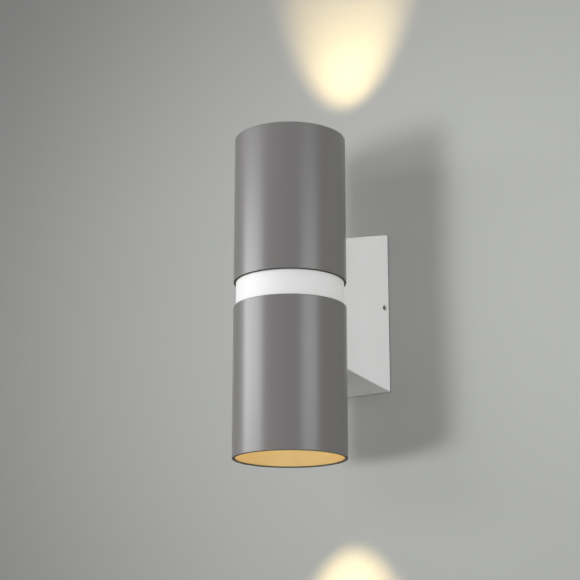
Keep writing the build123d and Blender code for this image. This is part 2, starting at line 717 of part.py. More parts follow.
# The same pieces for the upper and the lower light
for name, base, way, lead_row in (("upper", UPPER, 1, LEAD_ROW_NEAR), ("lower", LOWER, -1, LEAD_ROW_FAR)):
    save(make_tube(base), f"{name}_tube")
    save(
        make_ring(base, collar_seal_r - COLLAR_SEAL_WIDTH, collar_seal_r, -COLLAR_SEAL_THICKNESS, 0),
        f"{name}_collar_seal",
    )
    save(
        make_grommet(
            base,
            TUBE_GROMMET_DIAMETER / 2,
            GROMMET_BORE_DIAMETER / 2,
            TUBE_GROMMET_DIAMETER / 2 + GROMMET_FLANGE,
            END_WALL,
            GROMMET_FLANGE_THICKNESS,
        ),
        f"{name}_tube_grommet",
    )
    save(
        make_screws(base.offset(END_WALL + BRACKET_THICKNESS), tube_screw_points, tube_screw_length),
        f"{name}_tube_screws",
    )
    save(make_holder_bracket(base), f"{name}_holder_bracket")
    save(make_lampholder(base), f"{name}_lampholder")
    save(make_contacts(base), f"{name}_lampholder_contacts")
    save(
        make_screws(
            base.offset(holder_top - HOLDER_SCREW_SINK),
            holder_screw_points,
            HOLDER_HEIGHT - HOLDER_SCREW_SINK + BRACKET_THICKNESS,
        ),
        f"{name}_lampholder_screws",
    )
    save(make_leads(way, boss_face - lead_row), f"{name}_leads")
    save(make_lamp_body(base), f"{name}_lamp_body")
    save(make_ring(base, 0, lens_r - FIT, lens_seat, lens_seat + LENS_THICKNESS), f"{name}_lamp_lens")
    save(make_lamp_pins(base), f"{name}_lamp_pins")
    save(
        make_ring(base, glass_r - GLASS_SEAL_WIDTH, glass_r, glass_shoulder, glass_inner),
        f"{name}_glass_seal",
    )
    save(make_ring(base, 0, glass_r, glass_inner, glass_outer), f"{name}_glass")
    save(make_reflector(base), f"{name}_reflector")
    save(
        make_ring(base, reflector_r - BAND_DEPTH, mouth_r - FIT, band_low, band_low + BAND_WIDTH),
        f"{name}_reflector_band",
    )
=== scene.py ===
"""Looks of an up-and-down wall light: its finishes, lamp lenses, studio and camera.

Lengths are in metres unless a name ends in mm or um, and settings that are angles are in degrees.
The frame is the model's own: Z is up, the wall is the plane Y = 0, and the light stands out from it
toward -Y. The origin lies behind the middle of the collar.
"""

from __future__ import annotations

import logging
import math
from collections.abc import Sequence
from dataclasses import dataclass, replace
from enum import Enum
from typing import Any

import bmesh
import bpy
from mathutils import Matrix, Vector

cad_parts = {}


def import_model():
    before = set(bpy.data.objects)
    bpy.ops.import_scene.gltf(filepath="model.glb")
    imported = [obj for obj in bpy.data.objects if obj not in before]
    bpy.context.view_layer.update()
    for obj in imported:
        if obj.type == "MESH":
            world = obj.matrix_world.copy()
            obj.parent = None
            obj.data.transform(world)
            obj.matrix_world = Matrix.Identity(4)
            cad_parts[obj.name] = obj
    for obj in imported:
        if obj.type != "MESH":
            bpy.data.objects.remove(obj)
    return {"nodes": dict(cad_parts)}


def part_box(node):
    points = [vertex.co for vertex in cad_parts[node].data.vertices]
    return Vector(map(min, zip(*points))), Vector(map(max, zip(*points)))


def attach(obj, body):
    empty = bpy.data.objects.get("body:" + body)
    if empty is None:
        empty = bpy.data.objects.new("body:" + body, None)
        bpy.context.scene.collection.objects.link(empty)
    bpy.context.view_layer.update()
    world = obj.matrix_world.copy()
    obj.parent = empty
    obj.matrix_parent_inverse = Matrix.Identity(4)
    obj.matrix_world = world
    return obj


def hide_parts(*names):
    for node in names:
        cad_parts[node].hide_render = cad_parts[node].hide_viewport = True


LOG = logging.getLogger("wall_light")
MM = 0.001
MICRON = 0.000001
SHARP_EDGE = math.radians(32)
# A wave texture turns 20 radians for each unit of its scale
WAVE_SCALE = 2 * math.pi / 20
# Colour sockets of the Mix node, whose names are shared by its other kinds
MIX_A, MIX_B, MIX_RESULT = 6, 7, 2
# Multiplied by this, a vector keeps its level part
LEVEL_PART = (1.0, 1.0, 0.0)


class End(Enum):
    """The two lights of the fitting, named as in the model."""

    UPPER = "upper"
    LOWER = "lower"

    @property
    def outward(self) -> int:
        """Give the way along Z in which this light shines.

        Returns:
            1 for up and -1 for down.
        """
        return 1 if self is End.UPPER else -1

    def node(self, piece: str) -> str:
        """Name one of this light's pieces as the model does.

        Args:
            piece: what the piece is called in either light.

        Returns:
            The piece's full name.
        """
        return f"{self.value}_{piece}"


class Stacked(Enum):
    """The axis that a turned surface's lines are stacked along."""

    ALONG_Y = "Y"
    ALONG_Z = "Z"


def linear(code: str) -> tuple[float, float, float, float]:
    """Turn an sRGB hex code into a linear colour.

    Args:
        code: six hex digits.

    Returns:
        Red, green, blue and an alpha of 1.
    """
    shares = [int(code[at : at + 2], 16) / 255 for at in (0, 2, 4)]
    # The curve of the sRGB standard
    red, green, blue = [s / 12.92 if s <= 0.04045 else ((s + 0.055) / 1.055) ** 2.4 for s in shares]
    return red, green, blue, 1.0


def add_node(
    tree: bpy.types.NodeTree,
    kind: str,
    inputs: dict[str | int, Any] | None = None,
    feeds: dict[str | int, bpy.types.NodeSocket] | None = None,
    **settings: Any,
) -> bpy.types.Node:
    """Add a node, set or link its inputs and link its outputs.

    Args:
        tree: the node tree that takes the node.
        kind: Blender's name of the node type.
        inputs: by socket, a value to set or an output to link from.
        feeds: by output, the input socket that it drives.
        settings: the node's own properties.

    Returns:
        The new node.
    """
    node = tree.nodes.new(kind)
    for key, value in settings.items():
        setattr(node, key, value)
    for socket, value in (inputs or {}).items():
        if isinstance(value, bpy.types.NodeSocket):
            tree.links.new(value, node.inputs[socket])
        else:
            node.inputs[socket].default_value = value
    for output, target in (feeds or {}).items():
        tree.links.new(node.outputs[output], target)
    return node


def noise(
    tree: bpy.types.NodeTree, place: bpy.types.NodeSocket, size: float, octaves: float
) -> bpy.types.NodeSocket:
    """Add a noise pattern.

    Args:
        tree: the node tree that takes it.
        place: the coordinates that it follows.
        size: the width of its features in millimetres.
        octaves: how many times it is refined.

    Returns:
        Its strength, from 0 to 1.
    """
    inputs = {"Vector": place, "Scale": 1 / (size * MM), "Detail": octaves}
    return add_node(tree, "ShaderNodeTexNoise", inputs).outputs["Fac"]


def blend(
    tree: bpy.types.NodeTree, share: bpy.types.NodeSocket, first: Any, second: Any
) -> bpy.types.NodeSocket:
    """Blend two colours.

    Args:
        tree: the node tree that takes the blend.
        share: how much of the second colour shows, from 0 to 1.
        first: a colour, or the output that gives it.
        second: a colour, or the output that gives it.

    Returns:
        The blended colour.
    """
    inputs = {"Factor": share, MIX_A: first, MIX_B: second}
    return add_node(tree, "ShaderNodeMix", inputs, data_type="RGBA").outputs[MIX_RESULT]


def spread(
    tree: bpy.types.NodeTree, share: bpy.types.NodeSocket, low: Any, high: float
) -> bpy.types.NodeSocket:
    """Spread a pattern over a range.

    Args:
        tree: the node tree that takes the range.
        share: the pattern, from 0 to 1.
        low: the value at 0, or the output that gives it.
        high: the value at 1.

    Returns:
        The value within the range.
    """
    inputs = {"Value": share, "To Min": low, "To Max": high}
    return add_node(tree, "ShaderNodeMapRange", inputs).outputs["Result"]


def relief(
    tree: bpy.types.NodeTree,
    height: bpy.types.NodeSocket,
    depth: float,
    below: bpy.types.NodeSocket | None = None,
) -> bpy.types.NodeSocket:
    """Raise a surface by a pattern.

    Args:
        tree: the node tree that takes the relief.
        height: the pattern, from 0 to 1.
        depth: the relief's depth in microns.
        below: the relief that this one lies on, if any.

    Returns:
        The surface's direction.
    """
    inputs = {"Height": height, "Distance": depth * MICRON}
    if below is not None:
        inputs["Normal"] = below
    return add_node(tree, "ShaderNodeBump", inputs).outputs["Normal"]


def skin(name: str, rings: Sequence[Sequence[Vector]]) -> bpy.types.Object:
    """Close a stack of equal rings of points into one solid.

    Args:
        name: the new piece's name.
        rings: rings of points in the model's frame, from one end to the other.

    Returns:
        The piece, linked to the scene.
    """
    grown = bmesh.new()
    rows = [[grown.verts.new(point) for point in ring] for ring in rings]
    count = len(rows[0])
    for row, following in zip(rows, rows[1:]):
        for at in range(count):
            after = (at + 1) % count
            grown.faces.new((row[at], row[after], following[after], following[at]))
    grown.faces.new(rows[0])
    grown.faces.new(rows[-1])
    bmesh.ops.recalc_face_normals(grown, faces=grown.faces)
    mesh = bpy.data.meshes.new(name)
    grown.to_mesh(mesh)
    grown.free()
    mesh.shade_smooth()
    mesh.set_sharp_from_angle(angle=SHARP_EDGE)
    piece = bpy.data.objects.new(name, mesh)
    bpy.context.scene.collection.objects.link(piece)
    return piece


def lathe(
    name: str, profile: Sequence[tuple[float, float]], foot: Vector, outward: int, count: int
) -> bpy.types.Object:
    """Turn a profile about an upright axis.

    Args:
        name: the new piece's name.
        profile: pairs of radius and height over the foot.
        foot: the point on the axis at height zero.
        outward: 1 where height runs up and -1 where it runs down.
        count: points on each ring.

    Returns:
        The turned piece.
    """
    turns = [2 * math.pi * at / count for at in range(count)]
    rings = []
    for radius, height in profile:
        points = [(radius * math.cos(turn), radius * math.sin(turn), outward * height) for turn in turns]
        rings.append([foot + Vector(point) for point in points])
    return skin(name, rings)


@dataclass(frozen=True)
class Finish:
    """A material and how its surface was made."""

    name: str
    colour: str
    roughness: float
    metallic: float = 0.0
    ior: float = 1.5

    def material(self) -> bpy.types.Material:
        """Make the material on its first use.

        Returns:
            This finish as a material.
        """
        made = bpy.data.materials.get(self.name)
        if made is None:
            made = bpy.data.materials.new(self.name)
            made.use_nodes = True
            shader = made.node_tree.nodes["Principled BSDF"]
            shader.inputs["Base Color"].default_value = linear(self.colour)
            shader.inputs["Roughness"].default_value = self.roughness
            shader.inputs["Metallic"].default_value = self.metallic
            shader.inputs["IOR"].default_value = self.ior
            self.shade(made.node_tree, shader)
        return made

    def shade(self, tree: bpy.types.NodeTree, shader: bpy.types.Node) -> None:
        """Add the surface's own pattern.

        Args:
            tree: the material's node tree.
            shader: its Principled shader.
        """


@dataclass(frozen=True)
class TexturedFinish(Finish):
    """A finish whose tone drifts between two colours, and whose gloss breaks up over a fine texture."""

    deep_colour: str = "000000"
    roughness_spread: float = 0.05

    def tone(
        self, tree: bpy.types.NodeTree, place: bpy.types.NodeSocket, size: float, octaves: float
    ) -> bpy.types.NodeSocket:
        """Let the tone drift toward the deep colour.

        Args:
            tree: the material's node tree.
            place: the coordinates that the drift follows.
            size: the width of its patches in millimetres.
            octaves: how many times the drift is refined.

        Returns:
            The surface's colour.
        """
        drift = noise(tree, place, size, octaves)
        return blend(tree, drift, linear(self.colour), linear(self.deep_colour))

    def gloss(self, tree: bpy.types.NodeTree, texture: bpy.types.NodeSocket) -> bpy.types.NodeSocket:
        """Break the gloss up over a texture.

        Args:
            tree: the material's node tree.
            texture: the texture, from 0 to 1.

        Returns:
            The surface's roughness.
        """
        low, high = self.roughness - self.roughness_spread, self.roughness + self.roughness_spread
        return spread(tree, texture, low, high)

    def cover(
        self,
        tree: bpy.types.NodeTree,
        shader: bpy.types.Node,
        tone: bpy.types.NodeSocket,
        texture: bpy.types.NodeSocket,
        depth: float,
    ) -> None:
        """Put a tone and a texture on the whole surface.

        Args:
            tree: the material's node tree.
            shader: its Principled shader.
            tone: the surface's colour.
            texture: the fine texture, from 0 to 1.
            depth: the texture's depth in microns.
        """
        tree.links.new(tone, shader.inputs["Base Color"])
        tree.links.new(self.gloss(tree, texture), shader.inputs["Roughness"])
        tree.links.new(relief(tree, texture, depth), shader.inputs["Normal"])


@dataclass(frozen=True)
class PowderCoat(TexturedFinish):
    """Powder baked on aluminium: an even satin skin with a slow ripple and a fine grit."""

    roughness_spread: float = 0.04
    # Painted shade on faces that look up or down, the cut ends: its colour and the facing over which it comes
    # in; the roughness there is the dulled film
    end_shade_colour: str = "000000"
    end_shade_from: float = 0.3
    end_shade_full: float = 0.9
    end_roughness: float = 0.6
    film_mm: float = 30.0
    film_octaves: float = 2.0
    ripple_mm: float = 2.6
    ripple_octaves: float = 1.0
    ripple_um: float = 3.0
    # Powder grit is near 0.1 mm, and is drawn coarser so that it shows
    grit_mm: float = 0.7
    grit_octaves: float = 2.0
    grit_um: float = 1.2

    def shade(self, tree: bpy.types.NodeTree, shader: bpy.types.Node) -> None:
        """Vary the film's tone and gloss, darken its level ends with painted shade and dull them, and ripple
        its surface.

        Args:
            tree: the material's node tree.
            shader: its Principled shader.
        """
        coordinates = add_node(tree, "ShaderNodeTexCoord")
        place = coordinates.outputs["Object"]
        facing = add_node(tree, "ShaderNodeSeparateXYZ", {"Vector": coordinates.outputs["Normal"]})
        level = add_node(tree, "ShaderNodeMath", {0: facing.outputs["Z"]}, operation="ABSOLUTE")
        # Painted shade: faces that look up or down, such as the tubes' end rims, are darkened toward the end
        # shade colour
        painted_end_shade = add_node(
            tree,
            "ShaderNodeMapRange",
            {"Value": level.outputs["Value"], "From Min": self.end_shade_from, "From Max": self.end_shade_full},
        ).outputs["Result"]
        film = self.tone(tree, place, self.film_mm, self.film_octaves)
        tree.links.new(blend(tree, painted_end_shade, film, linear(self.end_shade_colour)), shader.inputs["Base Color"])
        ripple = noise(tree, place, self.ripple_mm, self.ripple_octaves)
        grit = noise(tree, place, self.grit_mm, self.grit_octaves)
        dulled = spread(tree, painted_end_shade, self.gloss(tree, grit), self.end_roughness)
        tree.links.new(dulled, shader.inputs["Roughness"])
        rippled = relief(tree, ripple, self.ripple_um)
        tree.links.new(relief(tree, grit, self.grit_um, rippled), shader.inputs["Normal"])


@dataclass(frozen=True)
class TurnedMetal(TexturedFinish):
    """Metal cut on a lathe: close rings round the piece that draw its gleam out sideways."""

    stacked: Stacked = Stacked.ALONG_Z
    # Tool marks are near 0.1 mm apart, and are drawn wider so that they show
    ring_mm: float = 0.5
    ring_waver: float = 0.4
    ring_octaves: float = 1.0
    ring_um: float = 2.0
    patch_mm: float = 9.0
    patch_octaves: float = 2.0

    def shade(self, tree: bpy.types.NodeTree, shader: bpy.types.Node) -> None:
        """Cut the rings, and let the tone drift from patch to patch.

        Args:
            tree: the material's node tree.
            shader: its Principled shader.
        """
        place = add_node(tree, "ShaderNodeTexCoord").outputs["Object"]
        patches = self.tone(tree, place, self.patch_mm, self.patch_octaves)
        rings = add_node(
            tree,
            "ShaderNodeTexWave",
            {
                "Vector": place,
                "Scale": WAVE_SCALE / (self.ring_mm * MM),
                "Distortion": self.ring_waver,
                "Detail": self.ring_octaves,
            },
            bands_direction=self.stacked.value,
        )
        self.cover(tree, shader, patches, rings.outputs["Fac"], self.ring_um)


@dataclass(frozen=True)
class GrainedMetal(TexturedFinish):
    """Rolled, drawn or plated metal: a grain with a direction under a cloudy bright skin."""

    roughness_spread: float = 0.08
    cloud_mm: float = 6.0
    cloud_octaves: float = 4.0
    grain_mm: float = 0.5
    grain_octaves: float = 3.0
    grain_um: float = 1.5
    stretch: tuple[float, float, float] = (1.0, 1.0, 1.0)

    def shade(self, tree: bpy.types.NodeTree, shader: bpy.types.Node) -> None:
        """Cloud the plating and draw the grain along its stretch.

        Args:
            tree: the material's node tree.
            shader: its Principled shader.
        """
        place = add_node(tree, "ShaderNodeTexCoord").outputs["Object"]
        clouds = self.tone(tree, place, self.cloud_mm, self.cloud_octaves)
        along = add_node(tree, "ShaderNodeMapping", {"Vector": place, "Scale": self.stretch})
        grain = noise(tree, along.outputs["Vector"], self.grain_mm, self.grain_octaves)
        self.cover(tree, shader, clouds, grain, self.grain_um)


@dataclass(frozen=True)
class Moulded(TexturedFinish):
    """Rubber, plastic or clay from a mould: a matt skin with the mould's fine texture and a drifting tone."""

    roughness_spread: float = 0.06
    drift_mm: float = 5.0
    drift_octaves: float = 3.0
    skin_mm: float = 0.4
    skin_octaves: float = 2.0
    skin_um: float = 4.0
    milkiness: float = 0.0
    milk_mm: float = 1.0

    def shade(self, tree: bpy.types.NodeTree, shader: bpy.types.Node) -> None:
        """Texture the skin, and let light into the milky ones.

        Args:
            tree: the material's node tree.
            shader: its Principled shader.
        """
        shader.inputs["Subsurface Weight"].default_value = self.milkiness
        shader.inputs["Subsurface Scale"].default_value = self.milk_mm * MM
        place = add_node(tree, "ShaderNodeTexCoord").outputs["Object"]
        drift = self.tone(tree, place, self.drift_mm, self.drift_octaves)
        texture = noise(tree, place, self.skin_mm, self.skin_octaves)
        self.cover(tree, shader, drift, texture, self.skin_um)


@dataclass(frozen=True)
class FrostedLens(Finish):
    """Acrylic with a matt face, lit from behind: white over the chip and golden toward its rim."""

    glow: str = "FFEBCB"
    middle_glow: float = 0.85
    rim_glow: float = 0.35
    axis: tuple[float, float, float] = (0.0, 0.0, 0.0)
    radius: float = 20.0 * MM

    def shade(self, tree: bpy.types.NodeTree, shader: bpy.types.Node) -> None:
        """Let the glow fall off from the axis to the rim.

        Args:
            tree: the material's node tree.
            shader: its Principled shader.
        """
        place = add_node(tree, "ShaderNodeTexCoord").outputs["Object"]
        offset = add_node(tree, "ShaderNodeVectorMath", {0: place, 1: self.axis}, operation="SUBTRACT")
        level = add_node(
            tree, "ShaderNodeVectorMath", {0: offset.outputs["Vector"], 1: LEVEL_PART}, operation="MULTIPLY"
        )
        reach = add_node(tree, "ShaderNodeVectorMath", {0: level.outputs["Vector"]}, operation="LENGTH")
        shader.inputs["Emission Color"].default_value = linear(self.glow)
        add_node(
            tree,
            "ShaderNodeMapRange",
            {
                "Value": reach.outputs["Value"],
                "From Max": self.radius,
                "To Min": self.middle_glow,
                "To Max": self.rim_glow,
            },
            {"Result": shader.inputs["Emission Strength"]},
            interpolation_type="SMOOTHSTEP",
        )


@dataclass(frozen=True)
class ClearGlass(Finish):
    """Toughened float glass: clear, faintly green, and open to the lamp's light."""

    def shade(self, tree: bpy.types.NodeTree, shader: bpy.types.Node) -> None:
        """Make it clear, and let lamps shine through it.

        Args:
            tree: the material's node tree.
            shader: its Principled shader.
        """
        shader.inputs["Transmission Weight"].default_value = 1.0
        path = add_node(tree, "ShaderNodeLightPath")
        passing = add_node(tree, "ShaderNodeBsdfTransparent", {"Color": linear(self.colour)})
        add_node(
            tree,
            "ShaderNodeMixShader",
            {0: path.outputs["Is Shadow Ray"], 1: shader.outputs["BSDF"], 2: passing.outputs["BSDF"]},
            {0: tree.nodes["Material Output"].inputs["Surface"]},
        )


@dataclass(frozen=True)
class StagePaint(Finish):
    """Matt wall paint put on with a roller, for the floor and the backdrop."""

    nap_mm: float = 3.0
    nap_octaves: float = 2.0
    nap_um: float = 20.0
    one_sided: bool = False

    def shade(self, tree: bpy.types.NodeTree, shader: bpy.types.Node) -> None:
        """Stipple the paint, and clear a one-sided sheet's back.

        Args:
            tree: the material's node tree.
            shader: its Principled shader.
        """
        place = add_node(tree, "ShaderNodeTexCoord").outputs["Object"]
        nap = noise(tree, place, self.nap_mm, self.nap_octaves)
        tree.links.new(relief(tree, nap, self.nap_um), shader.inputs["Normal"])
        if self.one_sided:
            side = add_node(tree, "ShaderNodeNewGeometry")
            clear = add_node(tree, "ShaderNodeBsdfTransparent")
            add_node(
                tree,
                "ShaderNodeMixShader",
                {0: side.outputs["Backfacing"], 1: shader.outputs["BSDF"], 2: clear.outputs["BSDF"]},
                {0: tree.nodes["Material Output"].inputs["Surface"]},
            )


# Satin grey polyester powder: a broad soft gleam down each tube, dull on its cut ends, which are darkened
# with painted shade
GREY_POWDER = PowderCoat(
    "satin_grey_powder_coat", "737170", roughness=0.31, deep_colour="6F6D6C", end_shade_colour="35312B"
)
# Fine white polyester powder: bright and even, with a weak sheen
WHITE_POWDER = PowderCoat(
    "fine_white_powder_coat",
    "EAEAE9",
    roughness=0.53,
    deep_colour="E6E6E4",
    # Painted shade, faint, on its level ends
    end_shade_colour="E8E8E6",
    end_roughness=0.5,
    ripple_um=2.0,
    grit_um=2.0,
)
# Turned aluminium, etched matt and dyed gold: warm and softly blurred, under a film that scatters light
GOLD_ANODISED = TurnedMetal(
    "gold_anodised_aluminium", "EBCC97", roughness=0.42, metallic=0.7, deep_colour="E4C38B"
)
# Zinc plated steel sheet: cool grey with a bluish and yellowish cloud and a rolled grain
ZINC_SHEET = GrainedMetal(
    "zinc_plated_steel_sheet",
    "C3C8CC",
    roughness=0.36,
    metallic=1.0,
    deep_colour="B9B7A8",
    stretch=(1.0, 1.0, 0.12),
)
# Stainless screws: bright, tumbled and slightly soft
STAINLESS = GrainedMetal(
    "tumbled_stainless_steel", "B9B9B6", roughness=0.3, metallic=1.0, deep_colour="A6A6A4", grain_mm=0.3
)
# Turned brass: yellow and bright, with tool rings round an upright or a level axis
BRASS_UPRIGHT = TurnedMetal(
    "turned_brass_upright", "D2AA5E", roughness=0.28, metallic=1.0, deep_colour="BE954C"
)
BRASS_LEVEL = replace(BRASS_UPRIGHT, name="turned_brass_level", stacked=Stacked.ALONG_Y)
# Moulded EPDM rubber: near black, dull and a little dusty
BLACK_RUBBER = Moulded("moulded_epdm_rubber", "1D1D1D", roughness=0.72, deep_colour="2B2A29")
# Translucent silicone: cloudy grey white that light sinks into
CLEAR_SILICONE = Moulded(
    "translucent_silicone",
    "CFCDC6",
    roughness=0.42,
    ior=1.41,
    deep_colour="C2C0B8",
    milkiness=0.4,
    milk_mm=1.5,
)
# Silicone sleeve on the leads: creamy and slightly waxy
SILICONE_LEAD = Moulded(
    "silicone_sleeve", "D9D5CC", roughness=0.5, ior=1.41, deep_colour="CDC8BD", milkiness=0.2, milk_mm=0.6
)
# Moulded polyamide: ivory with a low sheen
POLYAMIDE = Moulded(
    "moulded_polyamide", "E5E3DB", roughness=0.46, ior=1.53, deep_colour="DEDBD1", milkiness=0.15, milk_mm=0.8
)
# Unglazed steatite: warm white, dry and faintly speckled
STEATITE = Moulded(
    "fired_steatite", "EBE7DD", roughness=0.66, ior=1.55, deep_colour="D9D2C2", drift_mm=0.9, skin_mm=0.6
)
# Moulded PBT lamp shell: clean white with a satin face
LAMP_SHELL = Moulded("moulded_pbt_shell", "E9E9E7", roughness=0.4, ior=1.57, deep_colour="E2E2DF")
# Frosted acrylic: creamy, and bright from the lamp behind it
ACRYLIC_LENS = FrostedLens("frosted_acrylic_lens", "FFF3DC", roughness=0.4, ior=1.49)
# Toughened glass: clear, with a faint green cast and a sharp gleam
COVER_GLASS = ClearGlass("toughened_cover_glass", "F4FAF7", roughness=0.02, ior=1.52)
# Matt emulsion: a grey backdrop and a pale floor, both without sheen
WALL_PAINT = StagePaint("backdrop_emulsion", "5F605E", roughness=0.85, one_sided=True)
FLOOR_PAINT = StagePaint("floor_emulsion", "E4E4E2", roughness=0.8)


@dataclass
class SubAssembly:
    """Pieces that come off together on the bench."""

    nodes: dict[str, bpy.types.Object]

    def coat(self, finish: Finish, *names: str) -> None:
        """Give pieces of the model a finish.

        Args:
            finish: the finish that they take.
            names: the pieces' names in the model.
        """
        for name in names:
            for place in self.nodes[name].material_slots:
                place.material = finish.material()
            LOG.info("%s is finished in %s", name, finish.name)

    def stand_in(self, piece: bpy.types.Object, node: str, body: str, slot: str, finish: Finish) -> None:
        """Show a new piece in the place of one of the model's.

        Args:
            piece: the new piece, in place.
            node: the model's piece that it stands for.
            body: the body that it moves with.
            slot: the record's material slot of its finish, which is not used.
            finish: the finish that it takes.
        """
        piece.data.materials.append(finish.material())
        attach(piece, body)
        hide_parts(node)
        LOG.info("%s stands for %s in %s", piece.name, node, finish.name)


@dataclass
class WallMount(SubAssembly):
    """The plate that is screwed to the wall, with its cable grommet and earth stud."""

    thread_pitch: float = 0.7 * MM
    thread_depth: float = 0.38 * MM
    plain_root: float = 2.2 * MM
    end_taper: float = 0.5 * MM
    steps_per_pitch: int = 8
    ring_points: int = 32

    def build_stud(self) -> bpy.types.Object:
        """Make the earth stud with its thread cut in.

        Returns:
            The stud, plain at its root and tapered at its free end.
        """
        low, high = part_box("earth_stud")
        middle = (low + high) / 2
        length = high.y - low.y
        crest = (high.x - low.x) / 2
        rows = round(length / self.thread_pitch * self.steps_per_pitch)
        rings = []
        for row in range(rows + 1):
            out = length * row / rows
            cut = 0.0 if out < self.plain_root else self.thread_depth
            taper = max(0.0, out - (length - self.end_taper))
            ring = []
            for at in range(self.ring_points):
                share = at / self.ring_points
                climb = (out / self.thread_pitch - share) % 1.0
                radius = crest - cut * abs(2 * climb - 1) - taper
                turn = 2 * math.pi * share
                across, up = radius * math.cos(turn), radius * math.sin(turn)
                ring.append(Vector((middle.x + across, high.y - out, middle.z + up)))
            rings.append(ring)
        return skin("earth_stud_threaded", rings)

    def dress(self) -> None:
        """Finish the plate and what is fixed to it."""
        self.coat(ZINC_SHEET, "wall_plate")
        self.coat(BLACK_RUBBER, "cable_grommet")
        self.coat(BRASS_LEVEL, "earth_washer", "earth_nut")
        self.stand_in(self.build_stud(), "earth_stud", "wall_mount", "brass", BRASS_LEVEL)


@dataclass
class Housing(SubAssembly):
    """The tapered white housing, with the collar that it holds and the wiring inside."""

    def dress(self) -> None:
        """Finish the shell, its fixings and the wiring."""
        self.coat(WHITE_POWDER, "housing", "collar")
        self.coat(BLACK_RUBBER, "housing_gasket", "wire_grommet")
        self.coat(STAINLESS, "set_screws", "collar_screws", "terminal_screws", "terminal_fixing_screw")
        self.coat(POLYAMIDE, "terminal_block")


@dataclass
class Light(SubAssembly):
    """One tube with its lampholder, lamp, cover glass and gold mouth ring."""

    end: End
    glass_arris: float = 0.4 * MM
    lens_rim: float = 2.4 * MM
    lens_dome_radius: float = 6.5 * MM
    lens_step: float = 0.45 * MM
    lens_steps: int = 6
    dome_points: int = 8
    ring_points: int = 128

    def ends_of(self, node: str) -> tuple[Vector, float, float]:
        """Measure a round piece of this light.

        Args:
            node: the piece's name in the model.

        Returns:
            The point on its axis at its inner face, its radius and its thickness.
        """
        low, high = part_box(node)
        foot = (low + high) / 2
        foot.z = low.z if self.end is End.UPPER else high.z
        return foot, (high.x - low.x) / 2, high.z - low.z

    def build_lens(self) -> bpy.types.Object:
        """Make the lamp's lens: a flat rim, stepped rings and a dome over the chip.

        Returns:
            The lens, in the room of the model's plain one.
        """
        foot, radius, top = self.ends_of(self.end.node("lamp_lens"))
        valley = top - self.lens_step
        step_width = (radius - self.lens_rim - self.lens_dome_radius) / self.lens_steps
        profile = [(radius, 0.0), (radius, top), (radius - self.lens_rim, top)]
        for step in range(self.lens_steps):
            outer = radius - self.lens_rim - step * step_width
            profile += [(outer, valley), (outer - step_width, top)]
        profile.append((self.lens_dome_radius, valley))
        for point in range(1, self.dome_points):
            lean = math.pi / 2 * point / self.dome_points
            profile.append((self.lens_dome_radius * math.cos(lean), valley + self.lens_step * math.sin(lean)))
        return lathe(self.end.node("lens_optic"), profile, foot, self.end.outward, self.ring_points)

    def build_glass(self) -> bpy.types.Object:
        """Make the cover glass with its ground edges.

        Returns:
            The glass, in the room of the model's plain one.
        """
        foot, radius, thickness = self.ends_of(self.end.node("glass"))
        flat = radius - self.glass_arris
        profile = [
            (flat, 0.0),
            (radius, self.glass_arris),
            (radius, thickness - self.glass_arris),
            (flat, thickness),
        ]
        return lathe(self.end.node("cover_glass"), profile, foot, self.end.outward, self.ring_points)

    def dress(self) -> None:
        """Finish this light's pieces from the collar outward."""
        node = self.end.node
        self.coat(GREY_POWDER, node("tube"))
        self.coat(BLACK_RUBBER, node("collar_seal"), node("tube_grommet"))
        self.coat(STAINLESS, node("tube_screws"), node("lampholder_screws"))
        self.coat(ZINC_SHEET, node("holder_bracket"))
        self.coat(STEATITE, node("lampholder"))
        self.coat(BRASS_UPRIGHT, node("lampholder_contacts"), node("lamp_pins"))
        self.coat(SILICONE_LEAD, node("leads"))
        self.coat(LAMP_SHELL, node("lamp_body"))
        self.coat(CLEAR_SILICONE, node("glass_seal"), node("reflector_band"))
        self.coat(GOLD_ANODISED, node("reflector"))
        foot, radius, _ = self.ends_of(node("lamp_lens"))
        lens = replace(ACRYLIC_LENS, axis=tuple(foot), radius=radius)
        self.stand_in(self.build_lens(), node("lamp_lens"), node("lamp"), "lamp_lens", lens)
        self.stand_in(self.build_glass(), node("glass"), "fixture", "clear_glass", COVER_GLASS)


@dataclass(frozen=True)
class SoftBox:
    """A rectangular soft lamp that faces the middle of the light."""

    name: str
    azimuth: float
    elevation: float
    distance: float
    width: float
    height: float
    watts_per_area: float

    def place(self, target: Vector) -> bpy.types.Object:
        """Set the lamp up.

        Args:
            target: the point that it faces.

        Returns:
            The lamp.
        """
        lamp = bpy.data.lights.new(self.name, "AREA")
        lamp.shape = "RECTANGLE"
        lamp.size = self.width
        lamp.size_y = self.height
        lamp.energy = self.watts_per_area * self.width * self.height
        stand = bpy.data.objects.new(self.name, lamp)
        bpy.context.scene.collection.objects.link(stand)
        round_angle, rise = math.radians(self.azimuth), math.radians(self.elevation)
        away = Vector(
            (
                math.sin(round_angle) * math.cos(rise),
                -math.cos(round_angle) * math.cos(rise),
                math.sin(rise),
            )
        )
        stand.location = target + away * self.distance
        stand.rotation_euler = away.to_track_quat("Z", "Y").to_euler()
        stand.visible_camera = False
        LOG.info("%s stands %.2f m away", self.name, self.distance)
        return stand


@dataclass(frozen=True)
class BackLamp(SoftBox):
    """A soft lamp behind the wall for a few pieces, which the backdrop would leave dark from there."""

    pieces: tuple[str, ...] = ()
    gleams: bool = True

    def light(self, nodes: dict[str, bpy.types.Object]) -> None:
        """Set the lamp up and let it shine through the backdrop.

        Args:
            nodes: the model's pieces, which alone shade its light.
        """
        stand = self.place(Vector())
        stand.visible_glossy = self.gleams
        lit = bpy.data.collections.new(f"{self.name}_lit")
        shading = bpy.data.collections.new(f"{self.name}_shading")
        for piece in self.pieces:
            lit.objects.link(nodes[piece])
        for node in nodes.values():
            shading.objects.link(node)
        stand.light_linking.receiver_collection = lit
        stand.light_linking.blocker_collection = shading


